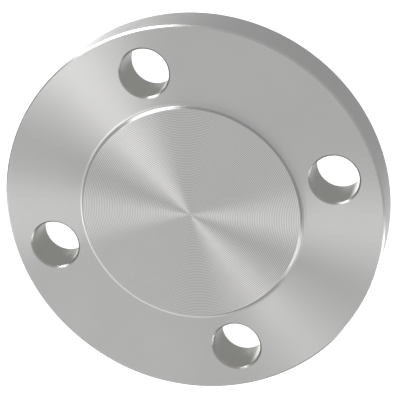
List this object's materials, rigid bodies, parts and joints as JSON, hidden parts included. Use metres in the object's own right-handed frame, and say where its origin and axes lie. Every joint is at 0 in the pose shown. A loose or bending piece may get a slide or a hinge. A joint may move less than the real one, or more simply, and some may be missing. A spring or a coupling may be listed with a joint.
{
  "type": "blind flange",
  "caption": "Solid round pipe flange with no bore: a flat plate with a low serrated sealing face in the middle and plain bolt holes near its rim.",
  "frame": {"origin": "middle of the flat back face, which the flange lies on", "axes": "+Z is the flange's axis, from the back face towards the raised sealing face. The bolt holes are at 45 degrees to +X and +Y, so they straddle both axes."},
  "size_m": [0.127, 0.127, 0.0175],
  "materials": {
    "machined_steel": "turned stainless steel: circular tool marks on the flat faces and rim, coarse concentric serrations on the sealing face, drilled bores"
  },
  "bodies": {
    "root": {"blind_flange": "machined_steel"}
  },
  "joints": []
}
